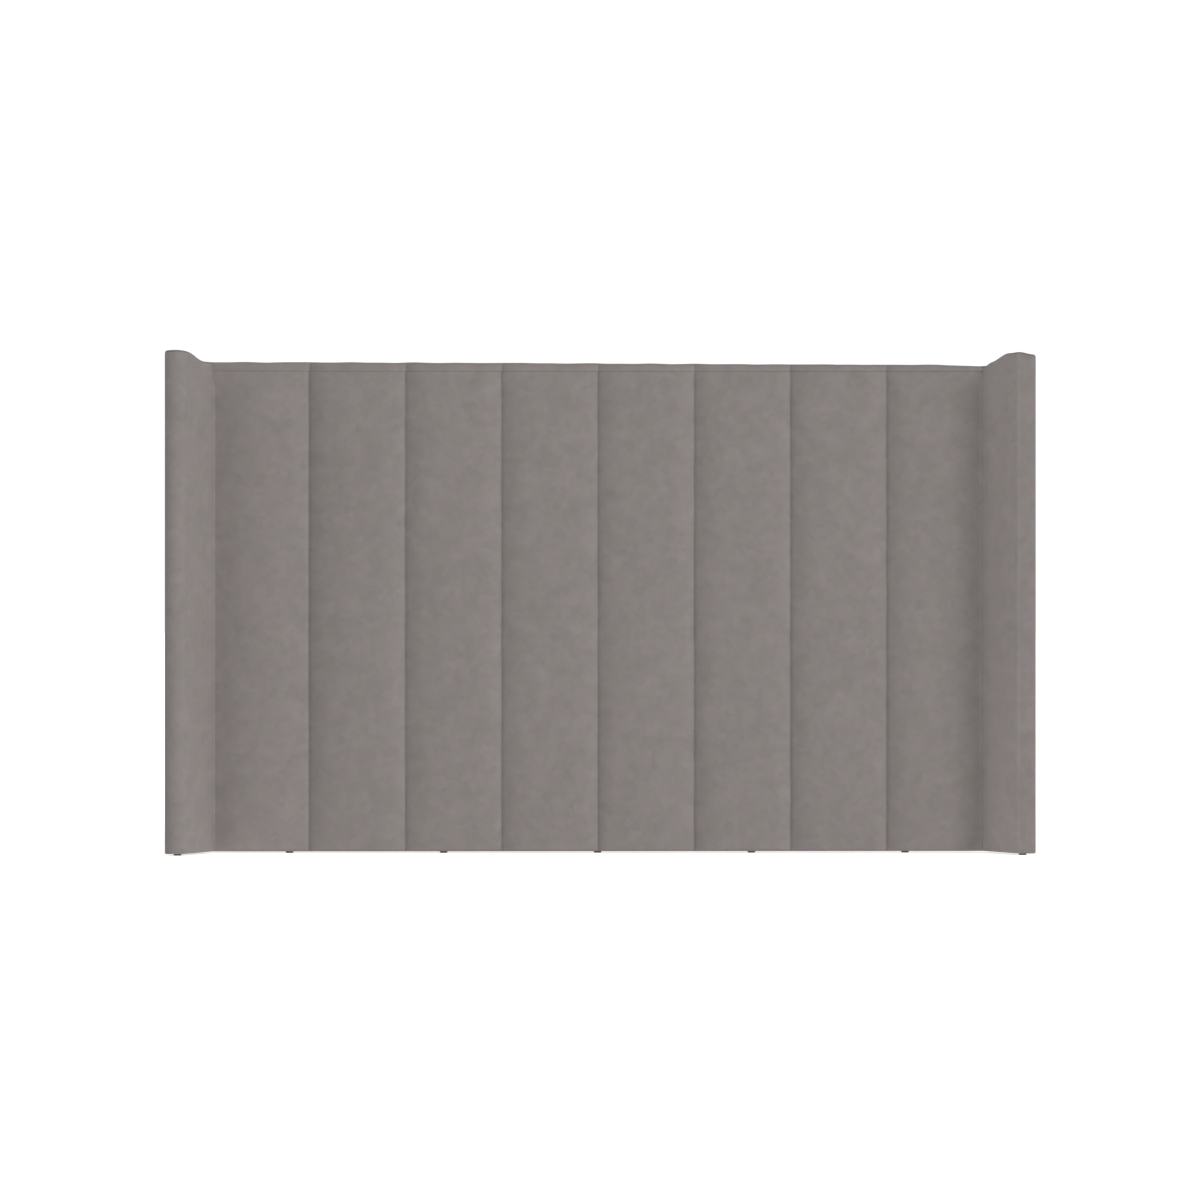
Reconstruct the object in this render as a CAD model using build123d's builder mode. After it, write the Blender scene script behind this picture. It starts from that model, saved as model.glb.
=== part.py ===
from build123d import *
import os
from math import cos, radians, sin

# A floor-standing upholstered headboard: a padded panel of upright channels between two wings
# that reach forward and open outward. Millimetres and degrees. X runs across the headboard,
# Y from its front (minus) to the wall (plus), Z up from the floor, with the origin on the floor
# in the middle of the space that the headboard takes up.

# Overall sizes
channel_count = 8
channel_pitch = 225  # from seam to seam
panel_top = 1146  # the padded top edge above the floor
wing_rise = 22  # how far the wings' fronts stand above that edge
wing_forward = 258  # from the panel's seams to the wing's front, along the wing
wing_splay = 15  # degrees that a wing opens outward
wing_rise_start_share = 0.12  # where a wing's top starts to climb, as a share of wing_forward
wing_rise_end_share = 0.95  # where it is level again
glide_height = 4

# Cloth and foam
cloth = 1.2  # plush velvet with its backing
back_cloth_thickness = 0.6  # black non-woven cloth
ease = 0.3  # room between a foam pad and the cloth over it
joint_gap = 0.3  # between the panel's ends and the wings
side_foam = 14  # foam depth at a channel's shoulders
crown_foam = 24  # foam depth at a channel's middle
shoulder_radius = 7  # foam rounding along a channel's seams
hem_radius = 5  # foam rounding at a channel's top and bottom
border_height = 21  # the top border, as seen from the front
border_foam = 17  # foam depth in front of the board behind the top border
top_foam = 13  # foam over the top rail
top_radius = 11  # foam rounding along the panel's top edge
border_hem_radius = 3  # foam rounding where the border meets the channels
wing_foam = 13  # foam on a wing's inner and outer side
wing_front_foam = 18  # foam in front of a wing's core
wing_front_radius = 19  # the cover's rounding along a wing's front edge
wing_top_foam = 10  # foam over a wing's core
flap = 30  # how far the covers turn onto the back of the frame
back_cloth_margin = 9  # from the back cloth's edge to the panel's end, bottom and frame top

# Timber
board_thickness = 6
frame_depth = 44
rail_width = 70
stile_width = 45
stud_width = 70
stud_pitch = 450
block_leg = 95
block_depth = 22
core_thickness = 18

# Fixings
bolt_radius = 4
bolt_head_radius = 7
bolt_head_height = 4.5
bolt_clearance = 0.5
bolt_setback = 44  # from the panel's seams to the bolts, along the wing
bolt_end_room = 45  # from the corner blocks to the outer bolts
bolt_tip_room = 1  # from a bolt's tip to the outer face of its nut
bolts_per_wing = 4
washer_radius = 8.5
washer_thickness = 1.6
nut_barrel_radius = 5
nut_barrel_length = 11
nut_flange_radius = 9.5
nut_flange_thickness = 1.5
screw_radius = 2.2
screw_head_radius = 4.5
screw_length = 85
screw_pair_spacing = 34
insert_radius = 6.5
insert_bore_radius = 3.4
insert_length = 20
insert_height = 150  # the lower pair above the floor
insert_rise = 250  # from the lower pair to the upper pair
insert_window_radius = 10  # opening in the back cloth over each insert
staple_crown = 10
staple_wire = 0.9
staple_leg = 9
staple_inset = 6  # from the back cloth's edge
staple_pitch = 84
glide_radius = 9
glide_edge = 1.2
glide_nail_radius = 1.3
glide_nail_length = 16
glide_pitch = 360
glide_count = 5
wing_glide_inset = 22  # from the front of a wing's core to its glide
overrun = 5

# Places that follow from the sizes
splay_sin = sin(radians(wing_splay))
splay_cos = cos(radians(wing_splay))
half_face = channel_count * channel_pitch / 2
wing_thickness = 2 * (cloth + ease + wing_foam) + core_thickness
seam_depth = side_foam + ease + cloth
panel_depth = board_thickness + frame_depth + cloth + back_cloth_thickness
board_y = (seam_depth + wing_forward * splay_cos - panel_depth) / 2
corner_y = board_y - seam_depth
frame_y = board_y + board_thickness
frame_back = frame_y + frame_depth
flap_back = frame_back + cloth
panel_back = flap_back + back_cloth_thickness
panel_bottom = glide_height
frame_bottom = panel_bottom + cloth
frame_top = panel_top - cloth - ease - top_foam
frame_middle_y = frame_y + frame_depth / 2
border_seam = panel_top - border_height
wing_core_front = wing_front_foam + cloth + ease - wing_forward
wing_core_drop = cloth + ease + wing_top_foam
core_inner = cloth + ease + wing_foam
core_outer = core_inner + core_thickness
stile_edge = -joint_gap - cloth
stile_inner = stile_edge - stile_width
stud_places = [-stud_pitch, 0, stud_pitch]
stud_names = ["left", "centre", "right"]

# The right wing's own planes: on wing_plan, X runs outward through the wing and Y backward along
# it; on wing_side, X runs backward along the wing and Y up.
outward = (splay_cos, splay_sin, 0)
backward = (-splay_sin, splay_cos, 0)
wing_plan = Plane(origin=(half_face, corner_y, 0), x_dir=outward, z_dir=(0, 0, 1))
wing_side = Plane(origin=(half_face, corner_y, 0), x_dir=backward, z_dir=outward)

os.makedirs("parts", exist_ok=True)


def write(piece, label):
    piece.label = label
    export_step(piece, f"parts/{label}.step")


def write_pair(right_piece, label):
    """Write a right-hand piece and its left-hand mirror image."""
    left_piece = mirror(right_piece, about=Plane.YZ)
    write(right_piece, f"right_{label}")
    write(left_piece, f"left_{label}")


def side_x(edge, y):
    """X at depth y of the line that lies `edge` outward of the right wing's inner face."""
    return half_face + (edge - splay_sin * (y - corner_y)) / splay_cos


def wing_y(edge, y):
    """How far back along the wing the depth y lies, on the line `edge` outward."""
    return (y - corner_y - edge * splay_sin) / splay_cos


def wing_point(edge, back, z):
    """A plane at a point of the right wing's own frame, facing outward through the wing."""
    return Plane(wing_side.from_local_coords((back, z, edge)), x_dir=backward, z_dir=outward)


def between_wings(edge, front, back):
    """Plan corners of a piece whose two ends lie parallel to the wings."""
    return [
        (-side_x(edge, front), front),
        (side_x(edge, front), front),
        (side_x(edge, back), back),
        (-side_x(edge, back), back),
    ]


def plan_block(corners, bottom, height):
    """A block with the given plan corners."""
    with BuildPart() as block:
        with BuildSketch(Plane.XY.offset(bottom)):
            Polygon(*corners, align=None)
        extrude(amount=height)
    return block.part


# Frame screws: pairs through the end stiles into the rails, and up or down into the studs.
# Each is a shank with a countersunk head, its head flush with the timber.
rail_middles = [
    frame_bottom + rail_width / 2,
    (frame_bottom + frame_top) / 2,
    frame_top - rail_width / 2,
]
screw_setback = wing_y(stile_edge - screw_length / 2, frame_middle_y)


def screw(head_plane):
    """One screw, driven along the plane's normal from its head."""
    head = screw_head_radius - screw_radius
    with BuildPart() as one:
        with BuildSketch(head_plane):
            Circle(screw_radius)
        extrude(amount=screw_length)
        with BuildSketch(head_plane):
            Circle(screw_head_radius)
        with BuildSketch(head_plane.offset(head)):
            Circle(screw_radius)
        loft()
    return one.part


end_screws = []
for middle in rail_middles:
    for lift in (-screw_pair_spacing / 2, screw_pair_spacing / 2):
        head_plane = wing_point(stile_edge, screw_setback, middle + lift)
        end_screws.append(screw(-head_plane))

stud_screws = []
for place in stud_places:
    for shift in (-screw_pair_spacing / 2, screw_pair_spacing / 2):
        foot = (place + shift, frame_middle_y, frame_bottom)
        head = (place + shift, frame_middle_y, frame_top)
        stud_screws.append(screw(Plane(foot, z_dir=(0, 0, 1))))
        stud_screws.append(screw(Plane(head, z_dir=(0, 0, -1))))

with BuildPart() as frame_screws:
    add(end_screws)
    add([mirror(one, about=Plane.YZ) for one in end_screws])
    add(stud_screws)
write(frame_screws.part, "frame_screws")


# Glides: plastic discs on nails, under the bottom rail and under each wing's core.
def glide(plane):
    with BuildPart() as one:
        with BuildSketch(plane):
            Circle(glide_radius)
        extrude(amount=glide_height)
        chamfer(one.edges().group_by(Axis.Z)[0], glide_edge)
        with BuildSketch(plane.offset(glide_height)):
            Circle(glide_nail_radius)
        extrude(amount=glide_nail_length)
    return one.part


wing_glide_edge = (core_inner + core_outer) / 2
wing_glide_place = wing_plan.from_local_coords(
    (wing_glide_edge, wing_core_front + wing_glide_inset, 0)
)
glide_places = [
    ((number - (glide_count - 1) / 2) * glide_pitch, frame_middle_y, 0)
    for number in range(glide_count)
]
with BuildPart() as glides:
    add([glide(Plane(place)) for place in glide_places])
    add(glide(Plane(wing_glide_place)))
    add(mirror(glide(Plane(wing_glide_place)), about=Plane.YZ))
write(glides.part, "glides")


# Threaded inserts for bolt-on struts, flush with the back of the lower studs.
insert_places = [
    (place, insert_height + rise)
    for place in (-stud_pitch, stud_pitch)
    for rise in (0, insert_rise)
]
back_plane = Plane((0, frame_back, 0), x_dir=(1, 0, 0), z_dir=(0, -1, 0))
with BuildPart() as strut_inserts:
    with BuildSketch(back_plane):
        with Locations(*insert_places):
            Circle(insert_radius)
            Circle(insert_bore_radius, mode=Mode.SUBTRACT)
    extrude(amount=insert_length)
write(strut_inserts.part, "strut_inserts")

with BuildPart() as insert_pockets:
    with BuildSketch(back_plane):
        with Locations(*insert_places):
            Circle(insert_radius)
    extrude(amount=insert_length)


# Back staples: through the back cloth and the turned edges of the covers into the frame.
cloth_side_edge = side_x(-joint_gap, flap_back) - back_cloth_margin
cloth_low_edge = panel_bottom + back_cloth_margin
cloth_high_edge = frame_top - back_cloth_margin
staple_x = cloth_side_edge - staple_inset
staple_low = cloth_low_edge + staple_inset
staple_high = cloth_high_edge - staple_inset


def evenly(first, last, pitch):
    """Places from first to last, as near to the pitch as an even spacing allows."""
    steps = max(1, round((last - first) / pitch))
    return [first + (last - first) * step / steps for step in range(steps + 1)]


across = evenly(staple_pitch / 2 - staple_x, staple_x - staple_pitch / 2, staple_pitch)
upward = evenly(staple_low + staple_pitch / 2, staple_high - staple_pitch / 2, staple_pitch)


def staples(middles):
    """One staple at each plane, driven flush: its crown along the plane's X, its legs toward
    the plane's minus Y."""
    made = []
    crown, leg = staple_crown / 2, staple_crown / 2 - staple_wire
    under = -staple_wire
    for middle in middles:
        with BuildPart() as one:
            with BuildSketch(middle.offset(-staple_wire / 2)):
                Polygon(
                    (-crown, 0), (-crown, -staple_leg), (-leg, -staple_leg), (-leg, under),
                    (leg, under), (leg, -staple_leg), (crown, -staple_leg), (crown, 0),
                    align=None,
                )
            extrude(amount=staple_wire)
        made.append(one.part)
    return made


level_planes = [
    Plane((x, panel_back, z), x_dir=(1, 0, 0), z_dir=(0, 0, 1))
    for x in across
    for z in (staple_low, staple_high)
]
upright_planes = [
    Plane((x, panel_back, z), x_dir=(0, 0, -1), z_dir=(1, 0, 0))
    for x in (-staple_x, staple_x)
    for z in upward
]
with BuildPart() as back_staples:
    add(staples(level_planes + upright_planes))
write(back_staples.part, "back_staples")


# Wing bolts, washers and tee nuts. The bolts run from inside the frame, through the end stile,
# the two covers and the fixing batten, to the nuts let into the outer face of the wing's core.
bolt_margin = rail_width + block_leg + bolt_end_room
bolt_span = frame_top - frame_bottom - 2 * bolt_margin
bolt_heights = [
    frame_bottom + bolt_margin + bolt_span * number / (bolts_per_wing - 1)
    for number in range(bolts_per_wing)
]


def round_bars(edge_from, edge_to, radius):
    """Round bars along every bolt of the right wing, between two depths in it."""
    with BuildPart() as bars:
        for height in bolt_heights:
            with BuildSketch(wing_point(edge_from, bolt_setback, height)):
                Circle(radius)
        extrude(amount=edge_to - edge_from)
    return bars.part


def both_sides(right_piece):
    """A right-hand group together with its mirror image, as separate solids."""
    with BuildPart() as pair:
        add(right_piece)
        add(mirror(right_piece, about=Plane.YZ))
    return pair.part


washer_edge = stile_inner - washer_thickness
nut_edge = core_outer - nut_flange_thickness
bolt_tip = core_outer - bolt_tip_room

with BuildPart() as right_bolts:
    add(round_bars(washer_edge, bolt_tip, bolt_radius))
    add(round_bars(washer_edge - bolt_head_height, washer_edge, bolt_head_radius))
write(both_sides(right_bolts.part), "wing_bolts")

with BuildPart() as right_washers:
    add(round_bars(washer_edge, stile_inner, washer_radius))
    bore = round_bars(washer_edge, stile_inner, bolt_radius + bolt_clearance)
    add(bore, mode=Mode.SUBTRACT)
write(both_sides(right_washers.part), "wing_washers")

with BuildPart() as right_nut_blanks:
    add(round_bars(core_outer - nut_barrel_length, core_outer, nut_barrel_radius))
    add(round_bars(nut_edge, core_outer, nut_flange_radius))

with BuildPart() as right_nuts:
    add(right_nut_blanks.part)
    thread = round_bars(core_outer - nut_barrel_length, core_outer, bolt_radius)
    add(thread, mode=Mode.SUBTRACT)
write(both_sides(right_nuts.part), "wing_tee_nuts")

bolt_way = round_bars(stile_inner, core_outer - nut_barrel_length, bolt_radius + bolt_clearance)
bolt_ways = both_sides(bolt_way)


# Panel frame of planed softwood. The rails run between the end stiles, the studs between rails.
def timber(block, driven, label):
    """One member of the frame, less the holes of what is driven into it."""
    with BuildPart() as member:
        add(block)
        add(driven, mode=Mode.SUBTRACT)
    write(member.part, label)


rail_corners = between_wings(stile_inner, frame_y, frame_back)
rail_names = ["bottom_rail", "middle_rail", "top_rail"]
rail_fixings = [frame_screws.part, back_staples.part, glides.part]
for rail_name, middle in zip(rail_names, rail_middles):
    timber(plan_block(rail_corners, middle - rail_width / 2, rail_width), rail_fixings, rail_name)

stile_corners = [
    (side_x(stile_inner, frame_y), frame_y),
    (side_x(stile_edge, frame_y), frame_y),
    (side_x(stile_edge, frame_back), frame_back),
    (side_x(stile_inner, frame_back), frame_back),
]
right_stile = plan_block(stile_corners, frame_bottom, frame_top - frame_bottom)
stile_fixings = [frame_screws.part, back_staples.part, bolt_ways]
timber(right_stile, stile_fixings, "right_stile")
timber(mirror(right_stile, about=Plane.YZ), stile_fixings, "left_stile")

stud_spans = {
    "lower": (rail_middles[0] + rail_width / 2, rail_middles[1] - rail_width / 2),
    "upper": (rail_middles[1] + rail_width / 2, rail_middles[2] - rail_width / 2),
}
for place, side in zip(stud_places, stud_names):
    stud_corners = [
        (place - stud_width / 2, frame_y),
        (place + stud_width / 2, frame_y),
        (place + stud_width / 2, frame_back),
        (place - stud_width / 2, frame_back),
    ]
    for level, (low, high) in stud_spans.items():
        stud = plan_block(stud_corners, low, high - low)
        timber(stud, [frame_screws.part, insert_pockets.part], f"{side}_{level}_stud")


# Corner blocks: triangles of plywood glued into the frame's four corners, their upright side
# planed to the stile's angle.
block_y = frame_middle_y - block_depth / 2
stile_cut = wing_point(stile_inner, 0, 0)


def corner_block(corner_z, leg):
    """The right-hand block whose corner is at height corner_z; a negative leg points down."""
    reach = side_x(stile_inner, block_y)
    near = side_x(stile_inner, block_y + block_depth) - block_leg
    with BuildPart() as block:
        with BuildSketch(Plane.XZ.offset(-block_y - block_depth)):
            Polygon((near, corner_z), (reach, corner_z), (reach, corner_z + leg), align=None)
        extrude(amount=block_depth)
        split(bisect_by=stile_cut, keep=Keep.BOTTOM)
    return block.part


write_pair(corner_block(frame_bottom + rail_width, block_leg), "lower_corner_block")
write_pair(corner_block(frame_top - rail_width, -block_leg), "upper_corner_block")


# Face board, stapled to the front of the frame, which carries the foam.
board_corners = between_wings(stile_edge, board_y, frame_y)
write(plan_block(board_corners, frame_bottom, frame_top - frame_bottom), "face_board")


# The eight channels. Each has a foam pad with an arched front and drawn-in edges, under a cover
# that dips to the board at its seams and turns under the bottom rail and up its back.
last_channel = channel_count - 1


def left_x(index, y, inset):
    """X of a channel's left side at depth y, `inset` inside its cover."""
    if index == 0:
        return -side_x(-joint_gap - inset, y)
    return index * channel_pitch - half_face + inset


def right_x(index, y, inset):
    """X of a channel's right side at depth y, `inset` inside its cover."""
    if index == last_channel:
        return side_x(-joint_gap - inset, y)
    return (index + 1) * channel_pitch - half_face - inset


def channel_body(index, inset, growth, bottom, top):
    """A channel's solid shape: `growth` outside the foam in front, `inset` inside the seams."""
    shoulder = board_y - side_foam - growth
    left, right = left_x(index, shoulder, inset), right_x(index, shoulder, inset)
    left_foot, right_foot = left_x(index, board_y, inset), right_x(index, board_y, inset)
    crown = ((left + right) / 2, board_y - crown_foam - growth)
    with BuildPart() as body:
        with BuildSketch(Plane.XY.offset(bottom)) as section:
            with BuildLine():
                Polyline(
                    (left, shoulder), (left_foot, board_y), (right_foot, board_y),
                    (right, shoulder),
                )
                ThreePointArc((right, shoulder), crown, (left, shoulder))
            make_face()
            fillet(section.vertices().group_by(Axis.Y)[0], shoulder_radius + growth)
        extrude(amount=top - bottom)
        for end in (0, -1):
            rim = body.faces().sort_by(Axis.Z)[end].edges().sort_by(Axis.Y)[:-1]
            fillet(rim, hem_radius + growth)
    return body.part


def plan_strip(index, front, back):
    """Plan corners of a channel's cloth behind the board, from front to back."""
    return [
        (left_x(index, front, 0), front),
        (right_x(index, front, 0), front),
        (right_x(index, back, 0), back),
        (left_x(index, back, 0), back),
    ]


def end_cloth():
    """The right end cover's cloth round the end stile, and its turn onto the back."""
    outer, inner = -joint_gap, stile_edge
    band = [
        (side_x(inner, board_y), board_y),
        (side_x(outer, board_y), board_y),
        (side_x(outer, frame_back), frame_back),
        (side_x(inner, frame_back), frame_back),
    ]
    turn = [
        (side_x(outer, frame_back) - flap, frame_back),
        (side_x(outer, frame_back), frame_back),
        (side_x(outer, flap_back), flap_back),
        (side_x(outer, frame_back) - flap, flap_back),
    ]
    turn_bottom = panel_bottom + flap
    turn_top = frame_top - flap
    with BuildPart() as strip:
        add(plan_block(band, panel_bottom, frame_top - panel_bottom))
        add(plan_block(turn, turn_bottom, turn_top - turn_bottom))
    return strip.part


right_end_cloth = end_cloth()
left_end_cloth = mirror(right_end_cloth, about=Plane.YZ)

for index in range(channel_count):
    pad = channel_body(index, cloth + ease, 0, frame_bottom + ease, border_seam - cloth - ease)
    write(pad, f"channel_pad_{index + 1}")

    outside = channel_body(index, 0, ease + cloth, panel_bottom, border_seam)
    hollow = channel_body(index, cloth, ease, frame_bottom, border_seam - cloth)
    with BuildPart() as cover:
        add(outside)
        add(hollow, mode=Mode.SUBTRACT)
        add(plan_block(plan_strip(index, board_y, flap_back), panel_bottom, cloth))
        add(plan_block(plan_strip(index, frame_back, flap_back), panel_bottom, flap))
        if index == 0:
            add(left_end_cloth)
        if index == last_channel:
            add(right_end_cloth)
        add([glides.part, back_staples.part, bolt_ways], mode=Mode.SUBTRACT)
    write(cover.part, f"channel_cover_{index + 1}")


# Top border: a foam strip rolled over the top rail, and its cloth from the border seam over the
# top and down the back. Both end against the wings.
right_end = wing_point(-joint_gap, 0, 0)
left_end = Plane((-half_face, corner_y, 0), z_dir=(-splay_cos, splay_sin, 0))
left_end = left_end.offset(-joint_gap)


def border_body(growth, foot):
    """The top border's solid shape, `growth` outside its foam, down to `foot` at the back."""
    front = board_y - border_foam - growth
    back = frame_back - ease + growth
    low = border_seam + cloth + ease - growth
    high = panel_top - cloth - ease + growth
    radii = [border_hem_radius + growth, top_radius + growth, top_radius + growth]
    with BuildPart() as body:
        with BuildSketch(Plane.YZ):
            with BuildLine():
                FilletPolyline(
                    (board_y, low), (front, low), (front, high), (back, high), (back, foot),
                    radius=radii,
                )
                Polyline((back, foot), (board_y, foot), (board_y, low))
            make_face()
        extrude(amount=half_face + overrun, both=True)
        split(bisect_by=right_end, keep=Keep.BOTTOM)
        split(bisect_by=left_end, keep=Keep.BOTTOM)
    return body.part


write(border_body(0, frame_top), "top_pad")

with BuildPart() as top_border:
    add(border_body(ease + cloth, frame_top - flap))
    add(border_body(ease, frame_top - flap), mode=Mode.SUBTRACT)
    add(back_staples.part, mode=Mode.SUBTRACT)
write(top_border.part, "top_border")


# Back cloth: black non-woven cloth over the whole back, with a window at each strut insert.
with BuildPart() as back_cloth:
    with BuildSketch(back_plane.offset(frame_back - panel_back)):
        Polygon(
            (-cloth_side_edge, cloth_low_edge), (cloth_side_edge, cloth_low_edge),
            (cloth_side_edge, cloth_high_edge), (-cloth_side_edge, cloth_high_edge),
            align=None,
        )
        with Locations(*insert_places):
            Circle(insert_window_radius, mode=Mode.SUBTRACT)
    extrude(amount=back_cloth_thickness)
    add(back_staples.part, mode=Mode.SUBTRACT)
write(back_cloth.part, "back_cloth")


# The wings. Each is a plywood core with foam all round it inside a wrapped cover, and a softwood
# batten in place of the inner foam where it is bolted to the panel's end. Its top climbs in a
# shallow S from the panel's height to its front.
foam_inset = cloth + ease
outer_foam = wing_thickness - foam_inset


def wing_back(edge, inset):
    """The back end of a wing's layer, `inset` in front of the back of the panel."""
    return wing_y(edge, panel_back - inset)


def wing_slab(corners, bottom, drop, front_radius=0):
    """A layer of the right wing from its plan corners, front ones first, cut to the wing's top."""
    rise_start = -wing_forward * wing_rise_start_share
    rise_end = -wing_forward * wing_rise_end_share
    halfway = (rise_start + rise_end) / 2
    low, high = panel_top - drop, panel_top - drop + wing_rise
    front, back = -wing_forward - overrun, wing_back(0, 0) + overrun
    with BuildPart() as slab:
        with BuildSketch(wing_plan.offset(bottom)) as plan:
            Polygon(*corners, align=None)
            if front_radius > 0:
                fillet(plan.vertices().group_by(Axis.Y)[0], front_radius)
        extrude(amount=panel_top + wing_rise + overrun - bottom)
        with BuildSketch(wing_side):
            with BuildLine():
                Polyline(
                    (rise_start, low), (back, low), (back, 0), (front, 0), (front, high),
                    (rise_end, high),
                )
                Bezier((rise_end, high), (halfway, high), (halfway, low), (rise_start, low))
            make_face()
        extrude(amount=wing_thickness, mode=Mode.INTERSECT)
    return slab.part


def layer_corners(inner, outer, front, inset):
    """Plan corners of a layer that runs to the back of the wing."""
    return [
        (inner, front),
        (outer, front),
        (outer, wing_back(outer, inset)),
        (inner, wing_back(inner, inset)),
    ]


def whole_wing(inset, bottom, drop):
    """The whole wing's shape, `inset` inside its cover."""
    corners = layer_corners(inset, wing_thickness - inset, inset - wing_forward, inset)
    return wing_slab(corners, bottom, drop, wing_front_radius - inset)


core_corners = layer_corners(core_inner, core_outer, wing_core_front, foam_inset)
with BuildPart() as wing_core:
    add(wing_slab(core_corners, frame_bottom, wing_core_drop))
    add([bolt_way, right_nut_blanks.part, glides.part], mode=Mode.SUBTRACT)
write_pair(wing_core.part, "wing_core")

batten_corners = layer_corners(foam_inset, core_inner, 0, foam_inset)
with BuildPart() as wing_batten:
    add(wing_slab(batten_corners, frame_bottom, wing_core_drop))
    add(bolt_way, mode=Mode.SUBTRACT)
write_pair(wing_batten.part, "wing_batten")

inner_corners = [
    (foam_inset, wing_core_front), (core_inner, wing_core_front), (core_inner, 0), (foam_inset, 0),
]
write_pair(wing_slab(inner_corners, frame_bottom, wing_core_drop), "wing_inner_pad")

outer_corners = layer_corners(core_outer, outer_foam, wing_core_front, foam_inset)
write_pair(wing_slab(outer_corners, frame_bottom, wing_core_drop), "wing_outer_pad")

front_line = foam_inset - wing_forward
front_corners = [
    (foam_inset, front_line), (outer_foam, front_line),
    (outer_foam, wing_core_front), (foam_inset, wing_core_front),
]
front_pad = wing_slab(front_corners, frame_bottom, wing_core_drop, wing_front_radius - foam_inset)
write_pair(front_pad, "wing_front_pad")

with BuildPart() as wing_top_pad:
    add(whole_wing(foam_inset, frame_bottom, foam_inset))
    add(whole_wing(foam_inset, frame_bottom, wing_core_drop), mode=Mode.SUBTRACT)
write_pair(wing_top_pad.part, "wing_top_pad")

with BuildPart() as wing_cover:
    add(whole_wing(0, panel_bottom, cloth))
    add(whole_wing(cloth, frame_bottom, -overrun), mode=Mode.SUBTRACT)
    add([bolt_way, glides.part], mode=Mode.SUBTRACT)
write_pair(wing_cover.part, "wing_cover")

with BuildPart() as wing_top_border:
    add(whole_wing(0, frame_bottom, 0))
    add(whole_wing(0, frame_bottom, cloth), mode=Mode.SUBTRACT)
write_pair(wing_top_border.part, "wing_top_border")
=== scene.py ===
import math

import bmesh
import bpy
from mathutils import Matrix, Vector, noise


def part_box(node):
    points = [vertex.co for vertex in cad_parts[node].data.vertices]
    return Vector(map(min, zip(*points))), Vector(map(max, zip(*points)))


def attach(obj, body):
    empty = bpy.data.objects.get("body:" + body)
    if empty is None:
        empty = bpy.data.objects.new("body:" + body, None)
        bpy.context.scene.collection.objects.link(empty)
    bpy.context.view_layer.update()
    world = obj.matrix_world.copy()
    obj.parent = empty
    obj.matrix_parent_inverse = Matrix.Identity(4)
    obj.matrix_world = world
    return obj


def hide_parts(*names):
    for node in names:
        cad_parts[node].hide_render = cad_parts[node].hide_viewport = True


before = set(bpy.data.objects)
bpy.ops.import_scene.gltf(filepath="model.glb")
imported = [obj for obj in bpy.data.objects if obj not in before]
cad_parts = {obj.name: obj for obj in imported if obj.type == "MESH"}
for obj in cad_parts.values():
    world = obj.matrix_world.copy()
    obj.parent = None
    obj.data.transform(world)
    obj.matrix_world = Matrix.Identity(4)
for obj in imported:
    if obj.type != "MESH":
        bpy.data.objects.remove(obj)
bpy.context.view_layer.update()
scene = bpy.context.scene


# The camera stands far off, level with the middle of the headboard and a step to the left, so
# that the wings' inner faces show a little unequally and nearly no perspective is left.
view_width = 2.802  # what the frame takes in at the panel
camera_distance = 24
camera_turn = math.radians(-1.6)
aim = Vector((0.0045, 0.091, 0.591))


def put_in_scene(name, data):
    made = bpy.data.objects.new(name, data)
    scene.collection.objects.link(made)
    return made


camera_data = bpy.data.cameras.new("camera")
camera_data.sensor_width = 36
camera_data.lens = camera_data.sensor_width * camera_distance / view_width
camera_data.clip_start = 1
camera_data.clip_end = 200
camera = put_in_scene("camera", camera_data)
toward = Vector((math.sin(camera_turn), -math.cos(camera_turn), 0))
camera.location = aim + toward * camera_distance
camera.rotation_euler = (math.pi / 2, 0, camera_turn)
scene.camera = camera
scene.view_settings.view_transform = "Standard"


# The panel's frame: planed spruce, screwed together. The rails lie along the headboard, the
# studs and stiles stand, and so does each wing's fixing batten.
def linear(colour):
    """An sRGB hex colour as linear RGBA."""
    parts = [int(colour[at:at + 2], 16) / 255 for at in (1, 3, 5)]
    return [p / 12.92 if p <= 0.04045 else ((p + 0.055) / 1.055) ** 2.4 for p in parts] + [1]


def new_material(name):
    material = bpy.data.materials.new(name)
    material.use_nodes = True
    material.node_tree.nodes.clear()
    return material


def add_node(material, kind, inputs, **settings):
    """Add a node with its settings. An input that is a socket, or a node for its first output, is
    linked, and any other is set."""
    made = material.node_tree.nodes.new("ShaderNode" + kind)
    for name, value in settings.items():
        setattr(made, name, value)
    for name, value in inputs.items():
        if isinstance(value, bpy.types.Node):
            value = value.outputs[0]
        if isinstance(value, bpy.types.NodeSocket):
            material.node_tree.links.new(value, made.inputs[name])
        else:
            made.inputs[name].default_value = value
    return made


def dress(names, material, surface):
    """Finish a material with its surface, and give it to CAD nodes."""
    add_node(material, "OutputMaterial", {"Surface": surface})
    for name in names:
        for material_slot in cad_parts[name].material_slots:
            material_slot.material = material


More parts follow.
